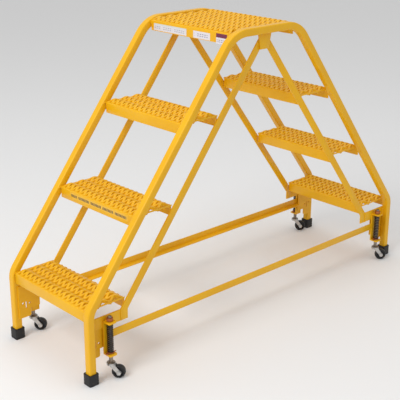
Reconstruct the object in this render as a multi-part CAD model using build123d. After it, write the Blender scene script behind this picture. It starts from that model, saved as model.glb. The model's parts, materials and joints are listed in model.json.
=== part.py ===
"""Double-sided mobile ladder stand: two bent-tube side frames, three treads each side, a platform
and four spring-loaded swivel casters.

Frame: +Z up, X along the length of the stand, Y across its width, origin on the floor at the centre.
Left and right are -X and +X; near and far are -Y and +Y.
"""
from build123d import *
from math import atan2, hypot, sin
import os

# ---- Driving dimensions, millimetres -------------------------------------------------------------
rise = 254.0                # height of one level, 10 inches
levels = 4                  # three treads and the platform
frame_width = 434.0         # outside of one side frame to the outside of the other
half_base = 757.0           # centre to the outer face of a leg
bend_z = 243.0              # height where the leg line meets the incline line
half_top = 158.0            # centre to where the incline line meets the top line

tube = 25.4                 # square tube
tube_wall = 1.7
tube_corner = 4.0
top_bend = 110.0            # centreline radii
bottom_bend = 60.0

cap_size = 36.0             # rubber foot cap
cap_height = 38.0
cap_floor = 6.0
cap_corner = 5.0

plate_t = 4.8               # plate and flat bar
strip_width = 25.4          # inner brace
brace_setback = 132.7       # outer face of the incline to the front edge of the brace, square to it
toe_x = 589.0               # cut-off end of the brace and base bar
bar_low = 170.0
bar_high = 208.0
gusset_top_half = 30.0
gusset_low_half = 20.0
gusset_drop = 52.0

plate_left = -743.0         # caster plate outline, at the left near corner
plate_step_x = -698.0
plate_right = -662.0
plate_low = 73.0
plate_step_z = 101.0
plate_high = 190.0
plate_chamfer = 4.0
hole_r = 4.0
holes_xz = [(-727.0, 125.0), (-701.0, 120.0)]
slot_xz = (-715.0, 117.0)
slot_width = 5.5
slot_height = 25.0

tread_depth = 152.4         # three rows of diamonds
platform_depth = 300.0      # six rows of diamonds
channel_height = 36.0       # apron of a grating plank
tooth_height = 12.0         # lattice that stands above the aprons
sheet_t = 2.7
strand_t = 2.7              # strand of the diamond lattice, in plan
rows_tread = 3
rows_platform = 6
diamonds_long = 16
end_bar_t = 3.0             # bar that closes the deck at each end of a plank
end_bar_low = 15.0          # its edges below the level of the teeth
end_bar_high = 8.5

rail_leg = 25.4             # tie rail angle
rail_t = 3.2
rail_low = 128.0

stem_x = 674.0              # caster stem axis
stem_y = 214.0
bracket_width = 30.0
bracket_reach = 29.0
tab_corner = 6.0
tab_low = 80.0              # underside of the bottom tab
tab_high = 190.0            # underside of the top tab

stem_r = 6.35
slide_gap = 0.3
stem_top = 213.0
stem_chamfer = 1.2
flange_r = 12.0             # upper race of the swivel, part of the stem
flange_t = 2.6
flange_low = 53.2
kingpin_r = 4.0
rivet_r = 6.0
rivet_low = 43.2
rivet_high = 46.0

wheel_r = 22.0
wheel_width = 18.0
wheel_side_gap = 2.2        # wheel's tread to the fork leg
boss_gap = 0.4              # wheel's boss to the fork leg
axle_r = 4.0
axle_gap = 0.05
trail = 23.0
trail_angle = -40.0         # direction in which the casters trail, from +X

fork_t = 2.5
crown_low = 46.5
crown_front = 10.0
crown_rear = 14.0
crown_corner = 3.0
cup_r = 14.6
cup_wall = 1.6
cup_height = 4.4
fork_eye_r = 7.5
ball_r = 1.6
ball_circle_r = 9.5
ball_count = 10

nut_size = 19.0             # across flats
nut_low = 197.0
nut_height = 10.0
thread_gap = 0.1
washer_t = 2.5
washer_r = 11.0
cotter_r = 1.5
cotter_tail = 20.0
cotter_head = 10.0
cotter_eye_r = 3.8
spring_wire_r = 1.5
spring_mean_r = 8.9
spring_turns = 14
bolt_size = 13.0            # axle bolt head and nut, across flats
bolt_head = 4.0
bolt_nut = 5.0
bolt_end = 7.0

# ---- Derived dimensions --------------------------------------------------------------------------
platform_z = rise * levels
slope = (half_base - half_top) / (platform_z - bend_z)
incline = atan2(platform_z - bend_z, half_base - half_top)
outer_y = frame_width / 2
inner_y = outer_y - tube
side_y = outer_y - tube / 2
rail_top_low = platform_z - tube
bar_outer_y = inner_y + plate_t
web_outer_y = bar_outer_y + plate_t
plank_half_length = inner_y - end_bar_t
leg_inner_x = half_base - tube
tab_top = tab_low + plate_t
cotter_z = tab_top + slide_gap + cotter_r
washer_z = cotter_z + cotter_r
fork_gap = wheel_width / 2 + wheel_side_gap
fork_reach = fork_gap + fork_t
crown_top = crown_low + fork_t

os.makedirs("parts", exist_ok=True)


def outer_line(z):
    """Distance from the centre to the outer face of the incline at height z."""
    return half_base - (z - bend_z) * slope


def offset_line(z, setback):
    """Distance from the centre to a line parallel to the incline, setback inside it."""
    return outer_line(z) - setback / sin(incline)


def mirrored(shape, side_x, side_y_sign):
    """A shape modelled at -X, -Y, moved to the given corner."""
    if side_x > 0:
        shape = mirror(shape, about=Plane.YZ)
    if side_y_sign > 0:
        shape = mirror(shape, about=Plane.XZ)
    return shape


def side_plate(points, y_low, thickness):
    """A flat plate upright in the XZ plane, from its corner points."""
    face = make_face(Polyline([(x, y_low, z) for x, z in points], close=True))
    return extrude(face, amount=thickness, dir=(0, 1, 0))


def block(low, high):
    """A box between two corners."""
    size = [b - a for a, b in zip(low, high)]
    return Pos(*low) * Box(*size, align=(Align.MIN, Align.MIN, Align.MIN))


def rod(radius, start, end):
    """A round bar between two points."""
    axis = Vector(*end) - Vector(*start)
    plane = Plane(origin=start, z_dir=axis)
    return plane * Cylinder(radius, axis.length, align=(Align.CENTER, Align.CENTER, Align.MIN))


def save(shape, name):
    shape.label = name
    export_step(shape, f"parts/{name}.step")


corners = {
    "left_near": (-1, -1),
    "left_far": (-1, 1),
    "right_near": (1, -1),
    "right_far": (1, 1),
}

# ---- Side frames: one bent square tube each ------------------------------------------------------
def centre_corners():
    """Corners of the tube's centreline in the XZ plane, left foot to right foot."""
    half = tube / 2
    bottom_x = half_base - half
    bottom_z = bend_z + (half_base - half / sin(incline) - bottom_x) / slope
    top_z = platform_z - half
    top_x = offset_line(top_z, half)
    right = [(top_x, top_z), (bottom_x, bottom_z), (bottom_x, cap_floor)]
    return [(-x, z) for x, z in reversed(right)] + right


def side_frame(y):
    points = [(x, y, z) for x, z in centre_corners()]
    radii = [bottom_bend, top_bend, top_bend, bottom_bend]
    path = FilletPolyline(*points, radius=radii)
    start = Plane(origin=points[0], x_dir=(0, 1, 0), z_dir=(0, 0, 1))
    inside = tube - 2 * tube_wall
    outer = sweep(start * RectangleRounded(tube, tube, tube_corner), path=path)
    inner = sweep(start * RectangleRounded(inside, inside, tube_corner - tube_wall), path=path)
    return outer - inner


for side, sign in (("near", -1), ("far", 1)):
    save(side_frame(sign * side_y), f"side_frame_{side}")

# ---- Foot caps -----------------------------------------------------------------------------------
cap_body = extrude(RectangleRounded(cap_size, cap_size, cap_corner), cap_height)
pocket = Pos(0, 0, cap_floor) * extrude(RectangleRounded(tube, tube, tube_corner), cap_height)
foot_cap = Pos(-(half_base - tube / 2), -side_y, 0) * (cap_body - pocket)

# ---- Inner braces and base bars, modelled at the left near corner --------------------------------
brace_rear = brace_setback + strip_width
toe_inner_x = offset_line(bar_high, brace_setback)
rear_at_bend = offset_line(bend_z, brace_rear)
brace = side_plate(
    [
        (-toe_inner_x, bar_low),
        (-toe_x, bar_low),
        (-toe_x, bend_z + (rear_at_bend - toe_x) / slope),
        (0, bend_z + rear_at_bend / slope),
        (0, rail_top_low),
        (-offset_line(rail_top_low, brace_setback), rail_top_low),
        (-toe_inner_x, bar_high),
    ],
    -bar_outer_y,
    plate_t,
)
base_bar = block((-leg_inner_x, -bar_outer_y, bar_low), (-toe_inner_x, -inner_y, bar_high))

# ---- Caster plate: a drilled flat plate lapped on the inside of the leg and the base bar ---------
def caster_plate_shape():
    outline = [
        (plate_left, plate_low),
        (plate_step_x - plate_chamfer, plate_low),
        (plate_step_x, plate_low + plate_chamfer),
        (plate_step_x, plate_step_z),
        (plate_right, plate_step_z),
        (plate_right, plate_high),
        (plate_left, plate_high),
    ]
    plate = side_plate(outline, -inner_y, plate_t)
    front, back = -inner_y, -inner_y + plate_t
    for x, z in holes_xz:
        plate -= rod(hole_r, (x, front, z), (x, back, z))
    slot_plane = Plane(origin=(slot_xz[0], front, slot_xz[1]), x_dir=(0, 0, 1), z_dir=(0, 1, 0))
    return plate - slot_plane * extrude(SlotOverall(slot_height, slot_width), plate_t)


# ---- Caster bracket: a web with two tabs turned outwards -----------------------------------------
def bracket_shape():
    left, right = -stem_x - bracket_width / 2, -stem_x + bracket_width / 2
    bracket = block((left, -web_outer_y, tab_low), (right, -bar_outer_y, tab_high + plate_t))
    for z in (tab_low, tab_high):
        tab = block((left, -web_outer_y - bracket_reach, z), (right, -web_outer_y, z + plate_t))
        bracket += fillet(tab.edges().filter_by(Axis.Z).group_by(Axis.Y)[0], tab_corner)
    bore_low = (-stem_x, -stem_y, tab_low)
    bore_high = (-stem_x, -stem_y, tab_high + plate_t)
    return bracket - rod(stem_r + slide_gap, bore_low, bore_high)


at_corner = {
    "foot_cap": foot_cap,
    "brace": brace,
    "base_bar": base_bar,
    "caster_plate": caster_plate_shape(),
    "caster_bracket": bracket_shape(),
}
for corner, (side_x, sign) in corners.items():
    for name, shape in at_corner.items():
        save(mirrored(shape, side_x, sign), f"{name}_{corner}")

# ---- Gussets at the top of the braces, and tie rails between the brackets ------------------------
gusset_outline = [
    (-gusset_low_half, rail_top_low - gusset_drop),
    (gusset_low_half, rail_top_low - gusset_drop),
    (gusset_top_half, rail_top_low),
    (-gusset_top_half, rail_top_low),
]
gusset = side_plate(gusset_outline, -web_outer_y, plate_t)
rail_end = stem_x - bracket_width / 2
rail_upright = block(
    (-rail_end, -bar_outer_y - rail_t, rail_low), (rail_end, -bar_outer_y, rail_low + rail_leg)
)
rail_flat = block(
    (-rail_end, -bar_outer_y - rail_t, rail_low),
    (rail_end, -bar_outer_y - rail_t + rail_leg, rail_low + rail_t),
)
tie_rail = rail_upright + rail_flat
for side, sign in (("near", -1), ("far", 1)):
    save(mirrored(gusset, -1, sign), f"gusset_{side}")
    save(mirrored(tie_rail, -1, sign), f"tie_rail_{side}")


# ---- Grating planks: a diamond lattice standing on a front and a rear apron ----------------------
def lattice(depth, rows):
    """The walking surface in plan, centred: a full diamond lattice inside a rim."""
    width = 2 * plank_half_length
    inside = Rectangle(depth - 2 * sheet_t, width - 2 * sheet_t)
    pitch_x = (depth - 2 * sheet_t) / rows
    pitch_y = (width - 2 * sheet_t) / diamonds_long
    edge_distance = pitch_x * pitch_y / 2 / hypot(pitch_x, pitch_y)
    shrink = 1 - strand_t / 2 / edge_distance
    half_x, half_y = shrink * pitch_x / 2, shrink * pitch_y / 2
    diamond = Polygon((half_x, 0), (0, half_y), (-half_x, 0), (0, -half_y))
    whole = [
        Pos((i - (rows - 1) / 2) * pitch_x, (j - (diamonds_long - 1) / 2) * pitch_y) * diamond
        for i in range(rows)
        for j in range(diamonds_long)
    ]
    between = [
        (Pos((i - rows / 2) * pitch_x, (j - diamonds_long / 2) * pitch_y) * diamond) & inside
        for i in range(rows + 1)
        for j in range(diamonds_long + 1)
    ]
    return Rectangle(depth, width) - whole - between


def plank(depth, rows):
    """A plank whose front face is at X = 0 and whose teeth reach Z = 0."""
    length = plank_half_length
    deck = Pos(depth / 2, 0, -tooth_height) * extrude(lattice(depth, rows), tooth_height)
    apron_low, apron_high = -tooth_height - channel_height, -tooth_height
    front = block((0, -length, apron_low), (sheet_t, length, apron_high))
    rear = block((depth - sheet_t, -length, apron_low), (depth, length, apron_high))
    return deck + front + rear


def end_bars(depth, low):
    """Both end bars of a plank whose front face is at X = 0."""
    bar = block((0, -inner_y, -low), (depth, -plank_half_length, -end_bar_high))
    return [bar, mirror(bar, about=Plane.XZ)]


tread_pieces = [plank(tread_depth, rows_tread), *end_bars(tread_depth, end_bar_low)]
ends = []
for level in range(1, levels):
    place = Pos(-outer_line(rise * level), 0, rise * level)
    for side in ("left", "right"):
        pieces = [place * piece for piece in tread_pieces]
        if side == "right":
            pieces = [mirror(piece, about=Plane.YZ) for piece in pieces]
        save(pieces[0], f"tread_{side}_{level}")
        ends += pieces[1:]

place = Pos(-platform_depth / 2, 0, platform_z)
save(place * plank(platform_depth, rows_platform), "platform")
ends += [place * bar for bar in end_bars(platform_depth, tube)]
save(Compound(children=ends), "plank_end_bars")


# ---- Spring-loaded swivel casters: stem axis on Z, wheel trailing along +X -----------------------
def hexagon(size, low, height, bore):
    """A hex nut or bolt head standing on Z."""
    outline = RegularPolygon(size / 2, 6, major_radius=False)
    if bore:
        outline -= Circle(bore)
    return Pos(0, 0, low) * extrude(outline, height)


def stem_shape():
    """Threaded stem with its race flange and the riveted kingpin below it."""
    shaft = rod(stem_r, (0, 0, flange_low), (0, 0, stem_top))
    shaft = chamfer(shaft.edges().sort_by(Axis.Z)[-1], stem_chamfer)
    flange = rod(flange_r, (0, 0, flange_low), (0, 0, flange_low + flange_t))
    kingpin = rod(kingpin_r, (0, 0, rivet_low), (0, 0, flange_low))
    rivet = rod(rivet_r, (0, 0, rivet_low), (0, 0, rivet_high))
    hole_half = stem_r + slide_gap
    cross_hole = rod(cotter_r + slide_gap, (-hole_half, 0, cotter_z), (hole_half, 0, cotter_z))
    return shaft + flange + kingpin + rivet - cross_hole


def hardware_pieces():
    """Nut, spring seat washer, cotter pin and bearing balls of one stem."""
    nut = hexagon(nut_size, nut_low, nut_height, stem_r + thread_gap)
    seat = Circle(washer_r) - Circle(stem_r + thread_gap)
    washer = Pos(0, 0, washer_z) * extrude(seat, washer_t)
    pin = rod(cotter_r, (-cotter_head, 0, cotter_z), (cotter_tail, 0, cotter_z))
    eye = Pos(-cotter_head - cotter_eye_r, 0, cotter_z) * Torus(cotter_eye_r, cotter_r)
    ball = Pos(ball_circle_r, 0, (crown_top + flange_low) / 2) * Sphere(ball_r)
    balls = [Rot(0, 0, 360 * i / ball_count) * ball for i in range(ball_count)]
    return [nut, washer, pin + eye, *balls]


def spring_shape():
    """Coil between the seat washer and the top tab."""
    low = washer_z + washer_t + spring_wire_r + slide_gap
    high = tab_high - spring_wire_r - slide_gap
    path = Helix((high - low) / spring_turns, high - low, spring_mean_r)
    section = Plane(origin=path @ 0, z_dir=path % 0) * Circle(spring_wire_r)
    return Pos(0, 0, low) * sweep(section, path=path, is_frenet=True)


def fork_shape():
    """Pressed fork: a crown with its ball cup and two slanting legs."""
    crown = block((-crown_front, -fork_reach, crown_low), (crown_rear, fork_reach, crown_top))
    crown = fillet(crown.edges().filter_by(Axis.Z), crown_corner)
    cup = rod(cup_r, (0, 0, crown_low), (0, 0, crown_top + cup_height))
    cup -= rod(cup_r - cup_wall, (0, 0, crown_top), (0, 0, crown_top + cup_height))
    leg = Polygon(
        (-crown_front + crown_corner, crown_top),
        (trail - fork_eye_r, wheel_r),
        (trail + fork_eye_r, wheel_r),
        (crown_rear - crown_corner, crown_top),
        align=None,
    )
    leg += Pos(trail, wheel_r) * Circle(fork_eye_r)
    leg -= Pos(trail, wheel_r) * Circle(axle_r + axle_gap)
    fork = crown + cup
    for y in (-fork_gap, fork_reach):
        fork += Plane(origin=(0, y, 0), x_dir=(1, 0, 0), z_dir=(0, -1, 0)) * extrude(leg, fork_t)
    return fork - rod(kingpin_r + slide_gap, (0, 0, crown_low), (0, 0, crown_top))


def wheel_shape():
    """A moulded wheel about Y: boss, dished web and round-shouldered tread."""
    tread_half = wheel_width / 2
    boss_half = fork_gap - boss_gap
    boss_r, web_r, web_half, rim_r = 8.0, 9.5, 4.0, 14.0
    right = [
        (axle_r + axle_gap, boss_half),
        (boss_r, boss_half),
        (web_r, web_half),
        (rim_r, web_half),
        (rim_r + 1.0, tread_half - 1.0),
        (rim_r + 3.0, tread_half),
        (wheel_r - 2.0, tread_half - 0.6),
        (wheel_r - 0.5, tread_half - 3.2),
        (wheel_r, tread_half - 6.5),
    ]
    left = [(r, -y) for r, y in reversed(right)]
    profile = make_face(Polyline([(r, y, 0) for r, y in right + left], close=True))
    return revolve(profile, Axis.Y)


def axle_pieces():
    """Axle bolt with its head towards -Y, and its nut."""
    shank = rod(axle_r, (0, 0, -fork_reach), (0, 0, fork_reach + bolt_end))
    bolt = shank + hexagon(bolt_size, -fork_reach - bolt_head, bolt_head, 0)
    nut = hexagon(bolt_size, fork_reach, bolt_nut, axle_r + axle_gap)
    return [Rot(-90, 0, 0) * piece for piece in (bolt, nut)]


stem = stem_shape()
hardware = hardware_pieces()
spring = spring_shape()
fork = fork_shape()
wheel = Pos(trail, 0, wheel_r) * wheel_shape()
axle = [Pos(trail, 0, wheel_r) * piece for piece in axle_pieces()]
for corner, (side_x, sign) in corners.items():
    upright = Pos(side_x * stem_x, sign * stem_y, 0)
    trailing = upright * Rot(0, 0, trail_angle)
    save(upright * stem, f"stem_{corner}")
    save(upright * spring, f"spring_{corner}")
    save(Compound(children=[upright * piece for piece in hardware]), f"stem_hardware_{corner}")
    save(trailing * fork, f"fork_{corner}")
    save(trailing * wheel, f"wheel_{corner}")
    save(Compound(children=[trailing * piece for piece in axle]), f"axle_{corner}")
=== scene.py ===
"""Looks of the double-sided mobile ladder stand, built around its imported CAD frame.

Metres, +Z up, X along the stand, Y across it. Each sub-assembly is a class that builds its meshes from
its own sizes and dresses them; anything not rebuilt here is a CAD node with a better finish.
"""
import json
import logging
from dataclasses import dataclass, field
from enum import Enum
from math import atan2, cos, pi, radians, sin, tan
from typing import Callable, Iterable, Optional, Sequence, Union

import bmesh
import bpy
from mathutils import Matrix, Vector


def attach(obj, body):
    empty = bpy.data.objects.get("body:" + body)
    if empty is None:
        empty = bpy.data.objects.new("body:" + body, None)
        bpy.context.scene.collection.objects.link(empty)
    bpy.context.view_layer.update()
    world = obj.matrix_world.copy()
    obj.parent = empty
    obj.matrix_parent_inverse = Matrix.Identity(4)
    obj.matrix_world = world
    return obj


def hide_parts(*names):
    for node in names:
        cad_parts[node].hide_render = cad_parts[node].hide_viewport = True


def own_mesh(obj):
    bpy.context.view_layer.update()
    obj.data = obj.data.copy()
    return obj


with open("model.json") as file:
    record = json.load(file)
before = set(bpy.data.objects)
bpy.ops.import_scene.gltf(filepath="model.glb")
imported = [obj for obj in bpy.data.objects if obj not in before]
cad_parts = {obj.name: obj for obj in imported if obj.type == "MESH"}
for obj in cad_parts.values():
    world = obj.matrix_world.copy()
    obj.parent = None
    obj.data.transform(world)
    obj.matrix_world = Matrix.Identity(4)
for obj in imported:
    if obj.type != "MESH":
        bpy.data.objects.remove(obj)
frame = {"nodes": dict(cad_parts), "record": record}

log = logging.getLogger("ladder_stand")

Point = tuple[float, float, float]
Colour = tuple[float, float, float]
Input = Union["Value", bpy.types.NodeSocket, float, int, tuple, str, None]
Placement = Callable[[float, float, float], Point]


class Half(Enum):
    """A half of the stand, whose value is its sign along an axis."""

    @property
    def tag(self) -> str:
        """Its word in piece names."""
        return self.name.lower()


class Side(Half):
    """Which side frame: near is -Y, far is +Y."""

    NEAR = -1
    FAR = 1


class End(Half):
    """Which flight: left is -X, right is +X."""

    LEFT = -1
    RIGHT = 1


class Slot(Enum):
    """Material slots of the record."""

    YELLOW = "yellow_paint"
    RUBBER = "black_rubber"
    WHEEL = "black_wheel"
    ZINC = "zinc_plate"
    STEM = "stem_steel"
    BRONZED = "bronzed_steel"
    SPRING = "black_spring"


# ---- Node graphs written as expressions ------------------------------------------------------------
class Value:
    """An output inside a node graph; Python's operators work on it where it is a number."""

    def __init__(self, graph: "Graph", socket: bpy.types.NodeSocket) -> None:
        """Wraps the output socket of a node in the graph."""
        self.graph = graph
        self.socket = socket

    def _math(self, operation: str, first: Input, second: Input = None) -> "Value":
        """Result of one new Math node; some operations have no second operand."""
        inputs = {0: first} if second is None else {0: first, 1: second}
        return self.graph.value("ShaderNodeMath", {"operation": operation}, inputs)

    def __add__(self, other: Input) -> "Value":
        """Sum."""
        return self._math("ADD", self, other)

    def __radd__(self, other: Input) -> "Value":
        """Sum, reflected."""
        return self._math("ADD", other, self)

    def __sub__(self, other: Input) -> "Value":
        """Difference."""
        return self._math("SUBTRACT", self, other)

    def __rsub__(self, other: Input) -> "Value":
        """Difference, reflected."""
        return self._math("SUBTRACT", other, self)

    def __mul__(self, other: Input) -> "Value":
        """Product."""
        return self._math("MULTIPLY", self, other)

    def __rmul__(self, other: Input) -> "Value":
        """Product, reflected."""
        return self._math("MULTIPLY", other, self)

    def __truediv__(self, other: Input) -> "Value":
        """Quotient."""
        return self._math("DIVIDE", self, other)

    def __rtruediv__(self, other: Input) -> "Value":
        """Quotient, reflected."""
        return self._math("DIVIDE", other, self)

    def above(self, limit: Input) -> "Value":
        """1 where this is over the limit, else 0."""
        return self._math("GREATER_THAN", self, limit)

    def below(self, limit: Input) -> "Value":
        """1 where this is under the limit, else 0."""
        return self._math("LESS_THAN", self, limit)

    def remainder(self, step: Input) -> "Value":
        """What is left after whole steps, never negative."""
        return self._math("FLOORED_MODULO", self, step)

    def floor(self) -> "Value":
        """The whole number below."""
        return self._math("FLOOR", self)

    def sine(self) -> "Value":
        """Sine of an angle in radians."""
        return self._math("SINE", self)


class Graph:
    """A node tree with one method that makes any node."""

    def __init__(self, tree: bpy.types.NodeTree) -> None:
        """Wraps the tree to build in."""
        self.tree = tree

    def feed(self, socket: bpy.types.NodeSocket, value: Input) -> None:
        """Links a socket or sets it.

        Args:
            socket: The input socket.
            value: A graph value, an output socket, or a plain value.
        """
        if isinstance(value, Value):
            self.tree.links.new(value.socket, socket)
        elif isinstance(value, bpy.types.NodeSocket):
            self.tree.links.new(value, socket)
        elif value is not None:
            socket.default_value = value

    def node(self, kind: str, settings: Optional[dict] = None,
             inputs: Optional[dict] = None) -> bpy.types.Node:
        """Adds a node.

        Args:
            kind: The node's type.
            settings: Attributes set first.
            inputs: Values or links by socket name or number.

        Returns:
            The node.
        """
        made = self.tree.nodes.new(kind)
        for name, setting in (settings or {}).items():
            setattr(made, name, setting)
        for key, value in (inputs or {}).items():
            self.feed(made.inputs[key], value)
        return made

    def value(self, kind: str, settings: Optional[dict] = None, inputs: Optional[dict] = None,
              output: Union[int, str] = 0) -> Value:
        """Adds a node as node() does, and wraps the output of that name or number."""
        return Value(self, self.node(kind, settings, inputs).outputs[output])


class Paint(Graph):
    """A material written as expressions on Object coordinates."""

    def __init__(self, name: str) -> None:
        """Starts an empty material.

        Args:
            name: The material's name.
        """
        self.material = bpy.data.materials.new(name)
        self.material.use_nodes = True
        self.material.node_tree.nodes.clear()
        super().__init__(self.material.node_tree)
        self.place = self.node("ShaderNodeTexCoord").outputs["Object"]

    def along(self) -> tuple[Value, Value, Value]:
        """The three coordinates of the shaded point."""
        split = self.node("ShaderNodeSeparateXYZ", None, {0: self.place})
        return tuple(Value(self, output) for output in split.outputs)

    def noise(self, scale: float, detail: float = 2.0, roughness: float = 0.5) -> Value:
        """Cloudy noise of about 0 to 1, its scale in features per metre and its detail in octaves."""
        inputs = {"Vector": self.place, "Scale": scale, "Detail": detail, "Roughness": roughness}
        return self.value("ShaderNodeTexNoise", {"noise_dimensions": "3D"}, inputs, "Fac")

    def blend(self, factor: Input, first: Input, second: Input) -> Value:
        """Mixes two colours.

        Args:
            factor: 0 gives the first colour and 1 the second.
            first: A colour or a link.
            second: A colour or a link.

        Returns:
            The colour.
        """
        # Inputs 6 and 7 and output 2 are the node's colour sockets, whose names repeat.
        made = self.node("ShaderNodeMix", {"data_type": "RGBA", "clamp_factor": True})
        self.feed(made.inputs[0], factor)
        for socket, colour in ((made.inputs[6], first), (made.inputs[7], second)):
            self.feed(socket, (*colour, 1.0) if isinstance(colour, tuple) else colour)
        return Value(self, made.outputs[2])

    def relief(self, height: Input, strength: float, distance: float) -> Value:
        """Normal of a bump from a height, whose distance is the height's scale in metres."""
        inputs = {"Height": height, "Strength": strength, "Distance": distance}
        return self.value("ShaderNodeBump", None, inputs, "Normal")

    def done(self, fixed: Optional[dict] = None, varying: Optional[dict] = None) -> bpy.types.Material:
        """Ends the material in one Principled shader.

        Args:
            fixed: Uniform values by socket name.
            varying: Links by socket name.

        Returns:
            The material.
        """
        shader = self.node("ShaderNodeBsdfPrincipled", None, {**(fixed or {}), **(varying or {})})
        self.node("ShaderNodeOutputMaterial", None, {"Surface": shader.outputs[0]})
        return self.material


GRAIN_DEPTH = 0.0002


# ---- Finishes --------------------------------------------------------------------------------------
@dataclass(frozen=True)
class PowderCoat:
    """Semi-gloss powder coat with a faint orange peel."""

    name: str = "safety_yellow_powder"
    colour: Colour = (0.84, 0.455, 0.006)
    deep: Colour = (0.74, 0.36, 0.004)
    roughness: float = 0.36
    cloud_scale: float = 9.0
    cloud_start: float = 0.35
    cloud_gain: float = 1.2
    fine_scale: float = 70.0
    fine_gain: float = 0.25
    peel_scale: float = 620.0
    peel_strength: float = 0.18
    drift: float = 0.12

    def make(self) -> bpy.types.Material:
        """Builds the material.

        Returns:
            The material.
        """
        paint = Paint(self.name)
        cloud = paint.noise(self.cloud_scale, 3.0)
        fine = paint.noise(self.fine_scale, 2.0) - 0.5
        share = (cloud - self.cloud_start) * self.cloud_gain + fine * self.fine_gain
        colour = paint.blend(share, self.colour, self.deep)
        peel = paint.relief(paint.noise(self.peel_scale, 1.0), self.peel_strength, GRAIN_DEPTH)
        return paint.done(
            {"Coat Roughness": 0.18, "Specular IOR Level": 0.3, "Coat Weight": 0.06},
            {"Base Color": colour, "Roughness": self.roughness + fine * self.drift, "Normal": peel},
        )


@dataclass(frozen=True)
class Clouded:
    """A finish whose colour and gloss drift in clouds over a fine grain."""

    name: str
    colour: Colour
    dull: Colour
    roughness: float
    metallic: float
    specular: float
    cloud_scale: float
    cloud_detail: float
    cloud_start: float
    cloud_gain: float
    grain_scale: float
    grain_strength: float
    drift: float

    def make(self) -> bpy.types.Material:
        """Builds the material.

        Returns:
            The material.
        """
        paint = Paint(self.name)
        cloud = paint.noise(self.cloud_scale, self.cloud_detail, 0.6)
        colour = paint.blend((cloud - self.cloud_start) * self.cloud_gain, self.colour, self.dull)
        grain = paint.relief(paint.noise(self.grain_scale, 2.0), self.grain_strength, GRAIN_DEPTH)
        return paint.done(
            {"Metallic": self.metallic, "Specular IOR Level": self.specular},
            {"Base Color": colour, "Roughness": self.roughness + (cloud - 0.5) * self.drift, "Normal": grain},
        )


@dataclass(frozen=True)
class MouldedRubber(Clouded):
    """Dull black rubber with a faint bloom."""

    colour: Colour = (0.012, 0.012, 0.013)
    dull: Colour = (0.035, 0.034, 0.033)
    roughness: float = 0.58
    metallic: float = 0.0
    specular: float = 0.4
    cloud_scale: float = 55.0
    cloud_detail: float = 4.0
    cloud_start: float = 0.45
    cloud_gain: float = 2.0
    grain_scale: float = 1500.0
    grain_strength: float = 0.25
    drift: float = 0.2


@dataclass(frozen=True)
class PlatedMetal(Clouded):
    """Plated or oiled bare steel."""

    metallic: float = 1.0
    specular: float = 0.5
    cloud_scale: float = 90.0
    cloud_detail: float = 3.0
    cloud_start: float = 0.4
    cloud_gain: float = 2.2
    grain_scale: float = 900.0
    grain_strength: float = 0.12
    drift: float = 0.25


@dataclass(frozen=True)
class LabelFilm:
    """A printed film: a plain ground, a band and rows of short blocks, with no lettering."""

    name: str
    ground: Colour
    ink: Colour
    band: Colour
    row_pitch: float = 0.0075
    block_pitch: float = 0.011
    block_share: float = 0.7
    run: float = 5.4
    ink_share: float = 0.45
    slant: float = 0.004
    slant_rate: float = 61.0
    margin: float = 0.0035
    band_top: float = 0.0
    centre: Point = (0.0, 0.0, 0.0)
    half: tuple[float, float] = (0.05, 0.015)

    def make(self) -> bpy.types.Material:
        """Builds the material.

        Returns:
            The material.
        """
        paint = Paint(self.name)
        _, y, z = paint.along()
        across = y - (self.centre[1] - self.half[0])
        up = z - (self.centre[2] - self.half[1])
        inside = (
            across.above(self.margin) * across.below(2 * self.half[0] - self.margin)
            * up.above(self.margin) * up.below(2 * self.half[1] - self.margin - self.band_top)
        )
        rows = up.remainder(self.row_pitch).below(self.row_pitch * self.ink_share)
        slanted = across + (up * self.slant_rate).sine() * self.slant
        blocks = slanted.remainder(self.block_pitch).below(self.block_pitch * self.block_share)
        groups = across.remainder(self.block_pitch * self.run).above(self.block_pitch)
        printed = paint.blend(inside * rows * (blocks * groups), self.ground, self.ink)
        banded = paint.blend(up.above(2 * self.half[1] - self.band_top), printed, self.band)
        gloss = {"Roughness": 0.35, "Coat Weight": 0.3, "Coat Roughness": 0.1}
        return paint.done(gloss, {"Base Color": banded})


@dataclass(frozen=True)
class StudioFloor:
    """Plain pale sweep."""

    name: str = "pale_floor"
    colour: Colour = (0.86, 0.86, 0.86)

    def make(self) -> bpy.types.Material:
        """Builds the material."""
        paint = Paint(self.name)
        return paint.done({"Base Color": (*self.colour, 1.0), "Roughness": 0.85, "Specular IOR Level": 0.1})


class Finishes:
    """The materials, one for each record slot."""

    def __init__(self) -> None:
        """Makes every finish once."""
        finishes = {
            Slot.YELLOW: PowderCoat(),
            Slot.RUBBER: MouldedRubber("foot_rubber"),
            Slot.WHEEL: MouldedRubber("wheel_rubber", (0.014, 0.014, 0.015), (0.03, 0.03, 0.03), 0.42),
            Slot.ZINC: PlatedMetal("bright_zinc", (0.62, 0.62, 0.61), (0.40, 0.40, 0.40), 0.34),
            Slot.STEM: PlatedMetal("oiled_stem", (0.33, 0.28, 0.23), (0.18, 0.15, 0.12), 0.38),
            # Plain reddish-brown metal for the stem nut; the record's slot keeps the name bronzed_steel.
            Slot.BRONZED: PlatedMetal("bronzed_nut", (0.50, 0.17, 0.06), (0.24, 0.08, 0.035), 0.42, 0.8),
            Slot.SPRING: PlatedMetal("blued_spring", (0.035, 0.03, 0.03), (0.012, 0.01, 0.01), 0.3, 0.6),
        }
        self.by_slot: dict[Slot, bpy.types.Material] = {
            slot: finish.make() for slot, finish in finishes.items()
        }

    def dress(self, piece: bpy.types.Object, slot: Slot) -> None:
        """Gives a piece its slot's material."""
        piece.data.materials.clear()
        piece.data.materials.append(self.by_slot[slot])


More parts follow.
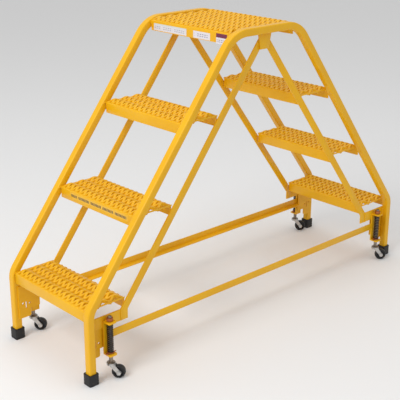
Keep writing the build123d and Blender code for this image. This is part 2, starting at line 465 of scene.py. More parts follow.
# ---- Mesh helpers ----------------------------------------------------------------------------------
def linked(name: str, data: bpy.types.ID) -> bpy.types.Object:
    """Puts data into the scene as an object of that name.

    Args:
        name: The object's name.
        data: Its mesh, light or camera.

    Returns:
        The object, at the origin.
    """
    piece = bpy.data.objects.new(name, data)
    bpy.context.scene.collection.objects.link(piece)
    return piece


def finish_mesh(name: str, mesh: bmesh.types.BMesh, crease: float = 32.0) -> bpy.types.Object:
    """Turns a BMesh into an object with outward normals and smooth curves.

    Args:
        name: The piece's name.
        mesh: The mesh, which is freed.
        crease: Edges sharper than this many degrees stay sharp.

    Returns:
        The object, at the origin.
    """
    bmesh.ops.recalc_face_normals(mesh, faces=mesh.faces)
    data = bpy.data.meshes.new(name)
    mesh.to_mesh(data)
    mesh.free()
    data.shade_smooth()
    data.set_sharp_from_angle(angle=radians(crease))
    return linked(name, data)


def loft(mesh: bmesh.types.BMesh, loops: Sequence[Sequence[Point]]) -> None:
    """Skins loops of equal length and closes both ends.

    Args:
        mesh: The mesh to add to.
        loops: The loops in order.
    """
    rings = [[mesh.verts.new(point) for point in loop] for loop in loops]
    count = len(rings[0])
    for low, high in zip(rings, rings[1:]):
        for i in range(count):
            j = (i + 1) % count
            mesh.faces.new((low[i], low[j], high[j], high[i]))
    mesh.faces.new(rings[0][::-1])
    mesh.faces.new(rings[-1])


def rounded_square(size: float, corner: float, steps: int = 4) -> list[tuple[float, float]]:
    """Outline of a square with round corners, anticlockwise.

    Args:
        size: Side of the square.
        corner: Corner radius.
        steps: Segments in each corner.

    Returns:
        The outline's points.
    """
    reach = size / 2 - corner
    outline = []
    for quarter, (sx, sy) in enumerate(((1, 1), (-1, 1), (-1, -1), (1, -1))):
        for step in range(steps + 1):
            turn = (quarter + step / steps) * pi / 2
            outline.append((sx * reach + corner * cos(turn), sy * reach + corner * sin(turn)))
    return outline


def slab(mesh: bmesh.types.BMesh, outline: Sequence[tuple[float, float]], low: float, high: float,
         place: Placement, edge: float) -> None:
    """Adds a plate from its outline, with its edges rounded.

    Args:
        mesh: The mesh to add to.
        outline: The outline's points.
        low: Height of one face.
        high: Height of the other face.
        place: Turns outline and height into a point of the stand's frame.
        edge: Edge rounding.
    """
    plate = bmesh.new()
    loft(plate, [[place(u, v, w) for u, v in outline] for w in (low, high)])
    bmesh.ops.recalc_face_normals(plate, faces=plate.faces)
    bmesh.ops.bevel(
        plate, geom=plate.edges[:], offset=edge, segments=2, profile=0.5, affect="EDGES",
        clamp_overlap=True,
    )
    kept = bpy.data.meshes.new("slab")
    plate.to_mesh(kept)
    plate.free()
    mesh.from_mesh(kept)
    bpy.data.meshes.remove(kept)


def upright(y_sign: float = 1.0) -> Placement:
    """Placement for a plate that stands in the XZ plane; height runs along Y."""
    return lambda u, v, w: (u, w * y_sign, v)


def lengthwise(y_sign: float) -> Placement:
    """Placement for a section that runs along X."""
    return lambda u, v, w: (w, u * y_sign, v)


def crosswise(turn: int, front_x: float, z: float) -> Placement:
    """Placement for a section that runs along Y, measured back from a plank's front face."""
    return lambda u, v, w: (turn * (front_x - u), w, z + v)


# ---- Geometry Nodes --------------------------------------------------------------------------------
class Recipe(Graph):
    """A Geometry Nodes tree with named inputs, run once for each piece."""

    def __init__(self, name: str, inputs: dict[str, tuple[str, object]]) -> None:
        """Starts the tree.

        Args:
            name: The tree's name.
            inputs: Socket type and default by input name.
        """
        super().__init__(bpy.data.node_groups.new(name, "GeometryNodeTree"))
        self.identifiers: dict[str, str] = {}
        face = self.tree.interface
        face.new_socket("Geometry", in_out="INPUT", socket_type="NodeSocketGeometry")
        for label, (kind, default) in inputs.items():
            item = face.new_socket(label, in_out="INPUT", socket_type=kind)
            if default is not None:
                item.default_value = default
            self.identifiers[label] = item.identifier
        face.new_socket("Geometry", in_out="OUTPUT", socket_type="NodeSocketGeometry")
        self.entry = self.node("NodeGroupInput")

    def vector(self, x: Input, y: Input, z: Input) -> Value:
        """Joins three numbers into a vector."""
        return self.value("ShaderNodeCombineXYZ", None, {0: x, 1: y, 2: z})

    def given(self, label: str) -> Value:
        """The input of that name."""
        return Value(self, self.entry.outputs[label])

    def close(self, geometry: Value) -> None:
        """Ends the tree in Realize Instances and Set Material.

        Args:
            geometry: The geometry to give out.
        """
        real = self.value("GeometryNodeRealizeInstances", None, {"Geometry": geometry})
        smooth = self.value("GeometryNodeSetShadeSmooth", None, {
            "Geometry": real, "Shade Smooth": self.given("Smooth"),
        })
        dressed = self.value("GeometryNodeSetMaterial", None, {
            "Geometry": smooth, "Material": self.given("Material"),
        })
        self.node("NodeGroupOutput", None, {0: dressed})

    def bake(self, name: str, values: dict[str, object],
             base: Optional[bpy.types.Mesh] = None) -> bpy.types.Object:
        """Runs the tree and keeps its result as a plain mesh.

        Args:
            name: The piece's name.
            values: Inputs by name.
            base: The mesh that the tree starts from, if it needs one.

        Returns:
            The piece, with no modifier.
        """
        carrier = linked(f"{name}_carrier", base or bpy.data.meshes.new(f"{name}_base"))
        modifier = carrier.modifiers.new("recipe", "NODES")
        modifier.node_group = self.tree
        for label, value in values.items():
            modifier[self.identifiers[label]] = value
        depsgraph = bpy.context.evaluated_depsgraph_get()
        data = bpy.data.meshes.new_from_object(carrier.evaluated_get(depsgraph))
        carrier.modifiers.remove(modifier)
        bpy.data.objects.remove(carrier)
        data.name = name
        return linked(name, data)


COMMON_INPUTS = {"Material": ("NodeSocketMaterial", None), "Smooth": ("NodeSocketBool", False)}


def grating_recipe() -> Recipe:
    """Serrated strands that arch over each row, leaving staggered slots, with their crests at Z = 0.

    Returns:
        The recipe.
    """
    recipe = Recipe("serrated_grating", {
        "Depth": ("NodeSocketFloat", 0.15),
        "Length": ("NodeSocketFloat", 0.37),
        "Half Rows": ("NodeSocketInt", 6),
        "Slots": ("NodeSocketInt", 16),
        "Strand Width": ("NodeSocketFloat", 0.0088),
        "Strand Height": ("NodeSocketFloat", 0.0115),
        "Rounding": ("NodeSocketFloat", 0.0018),
        "Arch": ("NodeSocketFloat", 0.009),
        "Tooth": ("NodeSocketFloat", 0.0014),
        **COMMON_INPUTS,
    })
    steps = 8
    half_rows, slots = recipe.given("Half Rows"), recipe.given("Slots")
    height, tooth = recipe.given("Strand Height"), recipe.given("Tooth")
    reach = recipe.given("Depth") / half_rows
    pitch = recipe.given("Length") / slots
    index = recipe.value("GeometryNodeInputIndex")

    outline = recipe.value("GeometryNodeCurvePrimitiveQuadrilateral", None, {
        "Width": recipe.given("Strand Width"), "Height": height,
    })
    rounded = recipe.value("GeometryNodeFilletCurve", {"mode": "POLY"}, {
        "Curve": outline, "Radius": recipe.given("Rounding"), "Count": 2,
    })
    spot = recipe.node("ShaderNodeSeparateXYZ", None, {0: recipe.value("GeometryNodeInputPosition")})
    profile = recipe.value(
        "GeometryNodeStoreNamedAttribute", {"data_type": "FLOAT", "domain": "POINT"},
        {"Geometry": rounded, "Name": "crown", "Value": Value(recipe, spot.outputs[1]).above(0.0)},
    )
    crown = recipe.value("GeometryNodeInputNamedAttribute", {"data_type": "FLOAT"}, {"Name": "crown"})
    ridge = recipe.value("GeometryNodeInputNamedAttribute", {"data_type": "FLOAT"}, {"Name": "ridge"})

    def strand(side: float) -> Value:
        """One strand of a V, from the valley to the crest.

        Args:
            side: -1 or 1, the side of the V's axis that it is on.

        Returns:
            The strand's mesh.
        """
        start = recipe.vector(reach * -0.5, pitch * (0.5 * side), height * -0.5 - tooth)
        stride = recipe.vector(reach / float(steps), pitch * (-0.5 * side / steps), 0.0)
        line = recipe.value("GeometryNodeMeshLine", {"mode": "OFFSET"}, {
            "Count": steps + 1, "Start Location": start, "Offset": stride,
        })
        arch = ((index * (pi / steps) + pi / 2).sine() + 1.0) * (recipe.given("Arch") * -0.5)
        arched = recipe.value("GeometryNodeSetPosition", None, {
            "Geometry": line, "Offset": recipe.vector(0.0, 0.0, arch),
        })
        marked = recipe.value(
            "GeometryNodeStoreNamedAttribute", {"data_type": "FLOAT", "domain": "POINT"},
            {"Geometry": arched, "Name": "ridge", "Value": index.remainder(2.0)},
        )
        curve = recipe.value("GeometryNodeMeshToCurve", None, {0: marked})
        level = recipe.value("GeometryNodeSetCurveNormal", {"mode": "Z_UP"}, {0: curve})
        return recipe.value("GeometryNodeCurveToMesh", None, {
            "Curve": level, "Profile Curve": profile, "Fill Caps": True,
        })

    pair = recipe.node("GeometryNodeJoinGeometry")
    for side in (-1.0, 1.0):
        recipe.feed(pair.inputs[0], strand(side))
    serrated = recipe.value("GeometryNodeSetPosition", None, {
        "Geometry": pair.outputs[0], "Offset": recipe.vector(0.0, 0.0, crown * ridge * tooth),
    })
    cells = recipe.value("GeometryNodeMeshGrid", None, {
        "Size X": (half_rows - 1.0) * reach, "Size Y": (slots - 1.0) * pitch,
        "Vertices X": half_rows, "Vertices Y": slots,
    })
    odd_row = ((index + 0.5) / slots).floor().remainder(2.0)
    laid = recipe.value("GeometryNodeInstanceOnPoints", None, {
        "Points": cells, "Instance": serrated, "Rotation": recipe.vector(0.0, 0.0, odd_row * pi),
    })
    recipe.close(laid)
    return recipe


def coil_recipe() -> Recipe:
    """A coil of round wire about Z that starts at Z = 0, its wire's ends closed.

    Returns:
        The recipe.
    """
    recipe = Recipe("coil", {
        "Turns": ("NodeSocketFloat", 14.0),
        "Radius": ("NodeSocketFloat", 0.009),
        "Wire": ("NodeSocketFloat", 0.0015),
        "Height": ("NodeSocketFloat", 0.1),
        "Steps": ("NodeSocketInt", 20),
        **COMMON_INPUTS,
    })
    radius, turns = recipe.given("Radius"), recipe.given("Turns")
    spiral = recipe.value("GeometryNodeCurveSpiral", None, {
        "Resolution": recipe.given("Steps"), "Rotations": turns,
        "Start Radius": radius, "End Radius": radius, "Height": recipe.given("Height"),
    })
    wire = recipe.value("GeometryNodeCurvePrimitiveCircle", None, {
        "Resolution": 10, "Radius": recipe.given("Wire"),
    })
    tube = recipe.value("GeometryNodeCurveToMesh", None, {
        "Curve": spiral, "Profile Curve": wire, "Fill Caps": True,
    })
    recipe.close(tube)
    return recipe


def bead_recipe() -> Recipe:
    """Weld beads: overlapping ripples along the edges of the mesh it is given.

    Returns:
        The recipe.
    """
    recipe = Recipe("weld_bead", {
        "Ripple": ("NodeSocketFloat", 0.0022),
        "Size": ("NodeSocketFloat", 0.0024),
        "Unevenness": ("NodeSocketFloat", 0.25),
        **COMMON_INPUTS,
    })
    size = recipe.given("Size")
    curve = recipe.value("GeometryNodeMeshToCurve", None, {0: recipe.given("Geometry")})
    points = recipe.value("GeometryNodeCurveToPoints", {"mode": "LENGTH"}, {
        "Curve": curve, "Length": recipe.given("Ripple"),
    })
    ball = recipe.value("GeometryNodeMeshUVSphere", None, {"Segments": 8, "Rings": 5, "Radius": size})
    # Inputs 2 and 3 and output 1 are the node's float sockets, whose names repeat.
    wobble = recipe.value(
        "FunctionNodeRandomValue", {"data_type": "FLOAT"},
        {2: 1.0 - recipe.given("Unevenness"), 3: 1.0 + recipe.given("Unevenness"), "Seed": 7}, 1,
    )
    beads = recipe.value("GeometryNodeInstanceOnPoints", None, {
        "Points": points, "Instance": ball, "Scale": wobble,
    })
    recipe.close(beads)
    return recipe


# ---- The stand's shared lines ----------------------------------------------------------------------
@dataclass(frozen=True)
class Layout:
    """Sizes that more than one sub-assembly works from."""

    rise: float = 0.254
    levels: int = 4
    half_width: float = 0.217
    half_base: float = 0.757
    bend_z: float = 0.243
    half_top: float = 0.158
    tube: float = 0.0254
    plate: float = 0.0048
    brace_setback: float = 0.1327
    strip: float = 0.0254
    toe_x: float = 0.589
    bar_low: float = 0.170
    bar_high: float = 0.208

    @property
    def top_z(self) -> float:
        """Level of the platform."""
        return self.rise * self.levels

    @property
    def slope(self) -> float:
        """Run of the incline for each metre of height."""
        return (self.half_base - self.half_top) / (self.top_z - self.bend_z)

    @property
    def incline(self) -> float:
        """Angle of the incline above the floor."""
        return atan2(self.top_z - self.bend_z, self.half_base - self.half_top)

    @property
    def inner_y(self) -> float:
        """Inner face of a side frame."""
        return self.half_width - self.tube

    @property
    def side_y(self) -> float:
        """Middle of a side frame."""
        return self.half_width - self.tube / 2

    def outer_line(self, z: float) -> float:
        """Distance from the centre to the incline's outer face at a height."""
        return self.half_base - (z - self.bend_z) * self.slope

    def offset_line(self, z: float, setback: float) -> float:
        """Distance from the centre to a line inside the incline and parallel to it."""
        return self.outer_line(z) - setback / sin(self.incline)


LAYOUT = Layout()


def four_corners() -> list[tuple[Side, End, str]]:
    """The stand's corners, each with its word in piece names."""
    return [(side, end, f"{end.tag}_{side.tag}") for side in Side for end in End]


@dataclass
class SubAssembly:
    """What every sub-assembly shares: the finishes and a list of what it made."""

    finishes: Finishes
    layout: Layout = LAYOUT
    made: list[bpy.types.Object] = field(default_factory=list)

    def settle(self, piece: bpy.types.Object, slot: Slot, body: str, nodes: Iterable[str] = ()) -> None:
        """Dresses a new piece, puts it on its body and hides the CAD nodes it stands for.

        Args:
            piece: The piece.
            slot: The record's slot.
            body: The CAD body it rides on.
            nodes: The CAD nodes it replaces.
        """
        self.finishes.dress(piece, slot)
        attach(piece, body)
        if nodes:
            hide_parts(*nodes)
        self.made.append(piece)
        log.info("%s on %s: %d faces", piece.name, body, len(piece.data.polygons))


# ---- Frame -----------------------------------------------------------------------------------------
@dataclass
class TubeFrame(SubAssembly):
    """The two bent-tube side frames."""

    corner: float = 0.004
    top_bend: float = 0.110
    bottom_bend: float = 0.060
    foot_z: float = 0.006
    bend_step: float = radians(4)

    def corners(self) -> list[tuple[float, float]]:
        """Corners of the tube's centreline in the XZ plane.

        Returns:
            The corners, left foot to right foot.
        """
        plan = self.layout
        half = plan.tube / 2
        bottom_x = plan.half_base - half
        bottom_z = plan.bend_z + (plan.half_base - half / sin(plan.incline) - bottom_x) / plan.slope
        top_z = plan.top_z - half
        right = [(plan.offset_line(top_z, half), top_z), (bottom_x, bottom_z), (bottom_x, self.foot_z)]
        return [(-x, z) for x, z in reversed(right)] + right

    def centreline(self) -> list[tuple[Vector, Vector]]:
        """The centreline, arcs included.

        Returns:
            Its points with their directions.
        """
        points = [Vector(p) for p in self.corners()]
        radii = [self.bottom_bend, self.top_bend, self.top_bend, self.bottom_bend]
        path = [(points[0], (points[1] - points[0]).normalized())]
        for before, at, after, radius in zip(points, points[1:], points[2:], radii):
            go_in, go_out = (at - before).normalized(), (after - at).normalized()
            turn = go_in.angle_signed(go_out)
            setback = radius * tan(abs(turn) / 2)
            count = max(3, round(abs(turn) / self.bend_step))
            side = Vector((go_in.y, -go_in.x)) * (1 if turn > 0 else -1)
            middle = at - go_in * setback + side * radius
            for step in range(count + 1):
                spin = Matrix.Rotation(-turn * step / count, 2)
                path.append((middle - spin @ (side * radius), spin @ go_in))
        path.append((points[-1], (points[-1] - points[-2]).normalized()))
        return path

    def build(self) -> None:
        """Makes both side frames."""
        section = rounded_square(self.layout.tube, self.corner)
        for side in Side:
            mesh = bmesh.new()
            loops = []
            for point, ahead in self.centreline():
                out = Vector((-ahead.y, ahead.x))
                loops.append([
                    (point.x + out.x * u, side.value * self.layout.side_y + v, point.y + out.y * u)
                    for u, v in section
                ])
            loft(mesh, loops)
            node = f"side_frame_{side.tag}"
            self.settle(finish_mesh(f"bent_tube_{side.tag}", mesh, 40.0), Slot.YELLOW, "stand", [node])


@dataclass
class FlatWork(SubAssembly):
    """Braces, base bars, gussets and tie rails: flat and angle stock with rounded edges."""

    edge: float = 0.0006
    meeting_gap: float = 0.0001
    gusset_drop: float = 0.052
    gusset_top: float = 0.030
    gusset_low: float = 0.020
    rail_half: float = 0.659
    rail_low: float = 0.128
    rail_leg: float = 0.0254
    rail_wall: float = 0.0032

    def brace_outline(self) -> list[tuple[float, float]]:
        """Outline of the left flight's brace.

        Returns:
            The outline's points.
        """
        plan = self.layout
        under = plan.top_z - plan.tube
        front_x = plan.offset_line(plan.bar_high, plan.brace_setback)
        rear = plan.offset_line(plan.bend_z, plan.brace_setback + plan.strip)
        return [
            (-front_x, plan.bar_low),
            (-plan.toe_x, plan.bar_low),
            (-plan.toe_x, plan.bend_z + (rear - plan.toe_x) / plan.slope),
            (-self.meeting_gap, plan.bend_z + rear / plan.slope),
            (-self.meeting_gap, under),
            (-plan.offset_line(under, plan.brace_setback), under),
            (-front_x, plan.bar_high),
        ]

    def plate_piece(self, name: str, outline: Sequence[tuple[float, float]], end: End, side: Side,
                    faces: tuple[float, float], node: str) -> None:
        """Makes one upright plate at a corner of the stand.

        Args:
            name: The piece's name.
            outline: Its outline for the left flight.
            end: The flight.
            side: The side.
            faces: Distances of its two faces from the middle.
            node: The CAD node it replaces.
        """
        mesh = bmesh.new()
        turned = [(u * -end.value, v) for u, v in outline]
        slab(mesh, turned, *faces, upright(side.value), self.edge)
        self.settle(finish_mesh(name, mesh), Slot.YELLOW, "stand", [node])

    def build(self) -> None:
        """Makes every flat piece."""
        plan = self.layout
        front_x = plan.offset_line(plan.bar_high, plan.brace_setback)
        leg_x = plan.half_base - plan.tube
        bar = [
            (-leg_x, plan.bar_low), (-front_x, plan.bar_low),
            (-front_x, plan.bar_high), (-leg_x, plan.bar_high),
        ]
        under = plan.top_z - plan.tube
        gusset = [
            (-self.gusset_low, under - self.gusset_drop), (self.gusset_low, under - self.gusset_drop),
            (self.gusset_top, under), (-self.gusset_top, under),
        ]
        inner, outer = plan.inner_y, plan.inner_y + plan.plate
        for side in Side:
            for end in End:
                at = f"{end.tag}_{side.tag}"
                faces = (inner, outer)
                self.plate_piece(f"brace_bar_{at}", self.brace_outline(), end, side, faces, f"brace_{at}")
                self.plate_piece(f"low_bar_{at}", bar, end, side, faces, f"base_bar_{at}")
            faces = (outer, outer + plan.plate)
            self.plate_piece(f"peak_gusset_{side.tag}", gusset, End.LEFT, side, faces, f"gusset_{side.tag}")
            self.rail(side, outer)

    def rail(self, side: Side, inner: float) -> None:
        """Makes one angle-section tie rail.

        Args:
            side: The side.
            inner: Distance of the upright leg's inner face from the middle.
        """
        out = inner + self.rail_wall
        low, leg, wall = self.rail_low, self.rail_leg, self.rail_wall
        section = [(out, low), (out, low + leg), (inner, low + leg), (inner, low + wall),
                   (out - leg, low + wall), (out - leg, low)]
        mesh = bmesh.new()
        slab(mesh, section, -self.rail_half, self.rail_half, lengthwise(side.value), self.edge)
        angle = finish_mesh(f"tie_angle_{side.tag}", mesh)
        self.settle(angle, Slot.YELLOW, "stand", [f"tie_rail_{side.tag}"])


@dataclass
class Planks(SubAssembly):
    """The seven grating planks: a bent apron front and rear, a serrated deck and two end bars."""

    tread_depth: float = 0.1524
    platform_depth: float = 0.300
    apron: float = 0.036
    deck: float = 0.012
    sheet: float = 0.0027
    bend: float = 0.004
    lip: float = 0.011
    sheet_edge: float = 0.0003
    deck_gap: float = 0.006
    strand_gap: float = 0.009
    tread_half_rows: int = 6
    platform_half_rows: int = 12
    end_bar: float = 0.003
    end_low: float = 0.015
    end_high: float = 0.0105
    bar_edge: float = 0.0004
    slots: int = 16

    def apron_outline(self) -> list[tuple[float, float]]:
        """Section of the front apron: an upright sheet whose top is bent inwards.

        Returns:
            The section's points.
        """
        top, low, bend = -self.deck, -self.deck - self.apron, self.bend
        outer = [(0.0, low)] + [
            (bend - bend * cos(a), top - bend + bend * sin(a))
            for a in (0, pi / 8, pi / 4, 3 * pi / 8, pi / 2)
        ]
        inside = bend - self.sheet
        inner = [
            (bend - inside * cos(a), top - bend + inside * sin(a)) for a in (pi / 2, pi / 4, 0)
        ]
        return outer + [(self.lip, top), (self.lip, top - self.sheet)] + inner + [(self.sheet, low)]

    def plank(self, name: str, node: str, front_x: float, z: float, depth: float, half_rows: int, turn: int,
              grating: Recipe) -> None:
        """Makes one plank.

        Args:
            name: Start of its pieces' names.
            node: The CAD node it replaces.
            front_x: Where its front face is, as a distance from the centre.
            z: Its level.
            depth: Its depth.
            half_rows: Half rows of slots across it.
            turn: -1 for the left flight and 1 for the right.
            grating: The deck's recipe.
        """
        half_length = self.layout.inner_y - self.end_bar
        place = crosswise(turn, front_x, z)
        mesh = bmesh.new()
        for outline in (self.apron_outline(), [(depth - u, v) for u, v in self.apron_outline()][::-1]):
            slab(mesh, outline, -half_length, half_length, place, self.sheet_edge)
        self.settle(finish_mesh(f"{name}_aprons", mesh), Slot.YELLOW, "stand", [node])
        deck = grating.bake(f"{name}_serrations", {
            "Depth": depth - self.deck_gap, "Length": 2 * half_length - self.strand_gap,
            "Half Rows": half_rows, "Slots": self.slots, "Smooth": False,
            "Material": self.finishes.by_slot[Slot.YELLOW],
        })
        deck.data.transform(Matrix.Translation((turn * (front_x - depth / 2), 0, z)))
        self.settle(deck, Slot.YELLOW, "stand")

    def build(self) -> None:
        """Makes the treads, the platform and every end bar."""
        grating = grating_recipe()
        plan = self.layout
        ends = bmesh.new()
        spans = []
        for level in range(1, plan.levels):
            z = plan.rise * level
            for end in End:
                front = plan.outer_line(z)
                name = f"{end.tag}_{level}"
                self.plank(f"step_{name}", f"tread_{name}", front, z, self.tread_depth,
                           self.tread_half_rows, end.value, grating)
                spans.append((end.value * front, end.value * (front - self.tread_depth), z))
        half = self.platform_depth / 2
        self.plank("top_deck", "platform", half, plan.top_z, self.platform_depth,
                   self.platform_half_rows, End.RIGHT.value, grating)
        spans.append((-half, half, plan.top_z))
        for start, stop, z in spans:
            low, high = z - (self.end_low if z < plan.top_z else plan.tube), z - self.end_high
            left, right = sorted((start, stop))
            bar = [(left, low), (right, low), (right, high), (left, high)]
            for side in Side:
                faces = (plan.inner_y - self.end_bar, plan.inner_y)
                slab(ends, bar, *faces, upright(side.value), self.bar_edge)
        self.settle(finish_mesh("plank_end_bars", ends), Slot.YELLOW, "stand", ["plank_end_bars"])


@dataclass
class FootCaps(SubAssembly):
    """Rubber caps over the legs' ends, with a groove above the sole and a raised rim.

    The profile gives the height and the side of each section, sole to rim and down inside it.
    """

    size: float = 0.036
    corner: float = 0.005
    least_corner: float = 0.0035
    profile: tuple[tuple[float, float], ...] = (
        (0.0, 0.0330), (0.0009, 0.0350), (0.0025, 0.0360), (0.0060, 0.0360), (0.0068, 0.0352),
        (0.0090, 0.0352), (0.0098, 0.0358), (0.0320, 0.0354), (0.0330, 0.0360), (0.0366, 0.0360),
        (0.0377, 0.0351), (0.0380, 0.0336), (0.0380, 0.0272), (0.0370, 0.0258), (0.0340, 0.0256),
    )

    def build(self) -> None:
        """Makes the four caps."""
        for side, end, at in four_corners():
            x = end.value * (self.layout.half_base - self.layout.tube / 2)
            y = side.value * self.layout.side_y
            loops = []
            for z, size in self.profile:
                corner = max(self.least_corner, self.corner - (self.size - size) / 2)
                loops.append([(x + u, y + v, z) for u, v in rounded_square(size, corner)])
            mesh = bmesh.new()
            loft(mesh, loops)
            self.settle(finish_mesh(f"rubber_cap_{at}", mesh), Slot.RUBBER, "stand", [f"foot_cap_{at}"])


@dataclass
class Casters(SubAssembly):
    """Spring coils and wheels of the four casters; forks, stems and axles are CAD nodes."""

    stem_x: float = 0.674
    stem_y: float = 0.214
    trail: float = 0.023
    trail_angle: float = radians(-40)
    wheel_r: float = 0.022
    wheel_half: float = 0.009
    bore: float = 0.00405
    coil_low: float = 0.0894
    coil_high: float = 0.1882
    coil_radius: float = 0.0089
    wire: float = 0.0015
    travel: float = 0.012
    turns: float = 14.0
    coil_steps: int = 22

    def wheel_profile(self) -> list[tuple[float, float]]:
        """Section of the wheel's right half, bore to tread.

        Returns:
            The radius and side distance of each point.
        """
        half, boss = self.wheel_half, self.wheel_half + 0.0018
        return [
            (self.bore, boss), (0.0074, boss), (0.0080, boss - 0.0006), (0.0090, 0.0045), (0.0098, 0.0040),
            (0.0138, 0.0040), (0.0146, 0.0050), (0.0152, half - 0.0010), (0.0160, half - 0.0002),
            (0.0180, half), (0.0200, half - 0.0008), (0.0212, half - 0.0026), (0.0218, half - 0.0050),
            (self.wheel_r, half - 0.0075),
        ]

    def wheel(self, at: str, centre: Point, count: int = 64) -> None:
        """Makes one wheel.

        Args:
            at: The corner's name.
            centre: The wheel's centre.
            count: Segments round it.
        """
        right = self.wheel_profile()
        outline = right + [(r, -y) for r, y in reversed(right)]
        mesh = bmesh.new()
        place = Matrix.Translation(centre) @ Matrix.Rotation(self.trail_angle, 4, "Z")
        rings = [
            [mesh.verts.new(place @ Vector((r * cos(2 * pi * i / count), y, r * sin(2 * pi * i / count))))
             for r, y in outline]
            for i in range(count)
        ]
        for ring, following in zip(rings, rings[1:] + rings[:1]):
            for j in range(len(outline)):
                k = (j + 1) % len(outline)
                mesh.faces.new((ring[j], ring[k], following[k], following[j]))
        piece = finish_mesh(f"caster_tyre_{at}", mesh, 50.0)
        self.settle(piece, Slot.WHEEL, f"wheel_{at}", [f"wheel_{at}"])

    def build(self) -> None:
        """Makes the coils and wheels."""
        coil = coil_recipe()
        ahead, aside = self.trail * cos(self.trail_angle), self.trail * sin(self.trail_angle)
        low, high = self.coil_low + self.wire, self.coil_high - self.wire
        for side, end, at in four_corners():
            x, y = end.value * self.stem_x, side.value * self.stem_y
            spring = coil.bake(f"coil_spring_{at}", {
                "Turns": self.turns, "Radius": self.coil_radius, "Wire": self.wire,
                "Height": high - low, "Steps": self.coil_steps, "Smooth": True,
                "Material": self.finishes.by_slot[Slot.SPRING],
            })
            spring.data.transform(Matrix.Translation((x, y, low)))
            self.settle(spring, Slot.SPRING, "stand", [f"spring_{at}"])
            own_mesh(spring)
            self.wheel(at, (x + ahead, y + aside, self.wheel_r))


@dataclass
class Welds(SubAssembly):
    """Weld beads where planks, bars and plates meet the frame."""

    under_bar: float = 0.0155
    inset: float = 0.0050
    sunk: float = 0.0002
    proud: float = 0.0004
    apron_low: float = 0.044
    apron_high: float = 0.017
    stop_short: float = 0.002
    slot_x: float = 0.662
    slot_low: float = 0.106
    slot_high: float = 0.126
    gusset_half: float = 0.028

    def plank_lines(self, side: Side, end: End) -> list[tuple[Point, Point]]:
        """Beads at one end of one flight's treads.

        Args:
            side: The side frame they are on.
            end: The flight.

        Returns:
            Each bead's start and end.
        """
        plan = self.layout
        y = side.value * (plan.inner_y - self.sunk)
        found = []
        for level in range(1, plan.levels):
            top = plan.rise * level
            z = top - self.under_bar
            front = min(plan.outer_line(z), plan.half_base)
            rear = front - plan.tube / sin(plan.incline)
            found.append(((end.value * (front - self.inset), y, z), (end.value * rear, y, z)))
            x = end.value * (plan.outer_line(top) - self.inset)
            found.append(((x, y, top - self.apron_low), (x, y, top - self.apron_high)))
        return found

    def corner_lines(self, side: Side, end: End) -> list[tuple[Point, Point]]:
        """Beads on the base bar and the caster plate of one corner.

        Args:
            side: The corner's side.
            end: The corner's end.

        Returns:
            Each bead's start and end.
        """
        plan = self.layout
        y = side.value * (plan.inner_y + plan.plate + self.proud)
        low = plan.bar_low + self.stop_short
        brace_x = end.value * plan.offset_line(plan.bar_high, plan.brace_setback)
        leg_x = end.value * (plan.half_base - plan.tube)
        plate_x, plate_y = end.value * self.slot_x, side.value * plan.inner_y
        return [
            ((brace_x, y, low), (brace_x, y, plan.bar_high)),
            ((leg_x, y, low), (leg_x, y, plan.bar_high - self.stop_short)),
            ((plate_x, plate_y, self.slot_low), (plate_x, plate_y, self.slot_high)),
        ]

    def lines(self) -> list[tuple[Point, Point]]:
        """Where all the beads run.

        Returns:
            Each bead's start and end.
        """
        plan = self.layout
        under = plan.top_z - plan.tube
        found = []
        for side in Side:
            for end in End:
                found += self.plank_lines(side, end) + self.corner_lines(side, end)
            y = side.value * (plan.inner_y + 2 * plan.plate)
            found.append(((-self.gusset_half, y, under), (self.gusset_half, y, under)))
        return found

    def build(self) -> None:
        """Makes all beads as one piece."""
        base = bpy.data.meshes.new("weld_lines")
        ends = [point for line in self.lines() for point in line]
        base.from_pydata(ends, [(i, i + 1) for i in range(0, len(ends), 2)], [])
        beads = bead_recipe().bake("weld_beads", {
            "Material": self.finishes.by_slot[Slot.YELLOW], "Smooth": True,
        }, base)
        self.settle(beads, Slot.YELLOW, "stand")


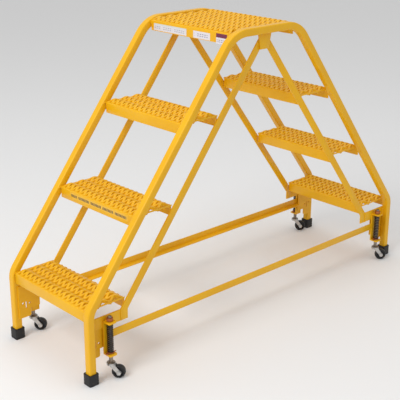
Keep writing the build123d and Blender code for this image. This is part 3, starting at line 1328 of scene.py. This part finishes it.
@dataclass
class Labels(SubAssembly):
    """Plain printed films on the front aprons; their marks are blocks, not lettering."""

    thickness: float = 0.00025
    sunk: float = 0.0004
    deck_x: float = -0.150

    def film(self, name: str, front_x: float, span: tuple[float, float], rise: tuple[float, float],
             **looks: object) -> None:
        """Makes one film on an apron that faces -X.

        Args:
            name: The piece's name.
            front_x: The apron's face.
            span: Its two edges along Y.
            rise: Its lower and upper edge.
            looks: Fields of its LabelFilm.
        """
        (y0, y1), (z0, z1) = span, rise
        mesh = bmesh.new()
        outline = [(y0, z0), (y1, z0), (y1, z1), (y0, z1)]
        faces = (front_x - self.thickness, front_x + self.sunk)
        loft(mesh, [[(x, y, z) for y, z in outline] for x in faces])
        piece = finish_mesh(name, mesh)
        film = LabelFilm(
            name=f"{name}_film", centre=(front_x, (y0 + y1) / 2, (z0 + z1) / 2),
            half=((y1 - y0) / 2, (z1 - z0) / 2), **looks,
        )
        self.settle(piece, Slot.YELLOW, "stand")
        piece.data.materials.clear()
        piece.data.materials.append(film.make())

    def build(self) -> None:
        """Makes the four films."""
        plan = self.layout
        step_x = -plan.outer_line(2 * plan.rise)
        self.film(
            "step_strip", step_x, (-0.160, 0.137), (0.4725, 0.4905), ground=(0.82, 0.46, 0.008),
            ink=(0.10, 0.055, 0.01), band=(0.82, 0.46, 0.008), row_pitch=0.040, ink_share=0.315,
            block_pitch=0.0068, run=9.3,
        )
        paper, grey = (0.72, 0.70, 0.76), (0.33, 0.32, 0.40)
        self.film(
            "deck_panel_long", self.deck_x, (0.012, 0.175), (0.9705, 0.9935), ground=(0.70, 0.68, 0.72),
            ink=(0.40, 0.42, 0.46), band=(0.60, 0.66, 0.63), band_top=0.004, row_pitch=0.006,
        )
        self.film(
            "deck_panel_mid", self.deck_x, (-0.100, -0.021), (0.970, 0.993), ground=paper, ink=grey,
            band=paper, row_pitch=0.0065,
        )
        self.film(
            "deck_panel_end", self.deck_x, (-0.177, -0.128), (0.965, 0.998), ground=paper, ink=grey,
            band=(0.16, 0.012, 0.05), band_top=0.013, row_pitch=0.0055,
        )


@dataclass
class CadDressing(SubAssembly):
    """Finishes for the CAD nodes that are shown as they are."""

    def build(self) -> None:
        """Dresses every node still shown."""
        slots = {row["node"]: Slot(row["material_slot"]) for row in frame["record"]["subparts"]}
        for name, node in frame["nodes"].items():
            if not node.hide_render:
                self.finishes.dress(node, slots[name])
                self.made.append(node)
        log.info("%d CAD nodes dressed", len(self.made))


# ---- Studio ----------------------------------------------------------------------------------------
@dataclass
class Studio:
    """Pale floor, soft lights and the camera."""

    target: Point = (0.0212, 0.1251, 0.3238)
    azimuth: float = radians(-43.34)
    elevation: float = radians(20.05)
    roll: float = 0.004
    distance: float = 3.4289
    lens: float = 82.69
    sensor: float = 36.0
    far_clip: float = 200.0
    aim: Point = (0.0, 0.0, 0.45)
    world: float = 0.66

    def floor(self) -> None:
        """Makes the pale floor."""
        mesh = bmesh.new()
        bmesh.ops.create_grid(mesh, x_segments=1, y_segments=1, size=60.0)
        data = bpy.data.meshes.new("studio_floor")
        mesh.to_mesh(data)
        mesh.free()
        piece = linked("studio_floor", data)
        data.materials.append(StudioFloor().make())

    def light(self, name: str, place: Point, size: float, power: float) -> None:
        """Adds a soft square light aimed at the stand.

        Args:
            name: The light's name.
            place: Where it is.
            size: Its side.
            power: Watts.
        """
        data = bpy.data.lights.new(name, "AREA")
        data.size = size
        data.energy = power
        piece = linked(name, data)
        piece.location = place
        aim = Vector(self.aim) - Vector(place)
        piece.rotation_euler = aim.to_track_quat("-Z", "Y").to_euler()

    def camera(self) -> None:
        """Adds the camera."""
        level = cos(self.elevation)
        away = Vector((sin(self.azimuth) * level, -cos(self.azimuth) * level, sin(self.elevation)))
        data = bpy.data.cameras.new("camera")
        data.lens = self.lens
        data.sensor_width = self.sensor
        data.clip_end = self.far_clip
        piece = linked("camera", data)
        look = (-away).to_track_quat("-Z", "Y").to_matrix().to_4x4()
        place = Matrix.Translation(Vector(self.target) + away * self.distance)
        piece.matrix_world = place @ look @ Matrix.Rotation(self.roll, 4, "Z")
        bpy.context.scene.camera = piece

    def build(self) -> None:
        """Sets up the whole studio."""
        self.floor()
        self.light("key", (-3.6, -0.6, 3.4), 1.8, 92.0)
        self.light("fill", (1.2, -4.2, 1.8), 2.6, 6.0)
        self.light("top", (0.3, 0.6, 4.4), 3.0, 22.0)
        world = bpy.data.worlds.new("studio")
        world.use_nodes = True
        background = world.node_tree.nodes["Background"]
        background.inputs["Color"].default_value = (1.0, 1.0, 1.0, 1.0)
        background.inputs["Strength"].default_value = self.world
        bpy.context.scene.world = world
        bpy.context.scene.view_settings.view_transform = "Standard"
        self.camera()


def main() -> None:
    """Builds the stand's sub-assemblies in order."""
    logging.basicConfig(level=logging.INFO, format="%(message)s")
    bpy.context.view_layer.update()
    finishes = Finishes()
    for kind in (TubeFrame, FlatWork, Planks, FootCaps, Casters, Welds, Labels, CadDressing):
        assembly = kind(finishes)
        assembly.build()
        log.info("%s: %d pieces", kind.__name__, len(assembly.made))
    Studio().build()


if __name__ == "__main__":
    main()
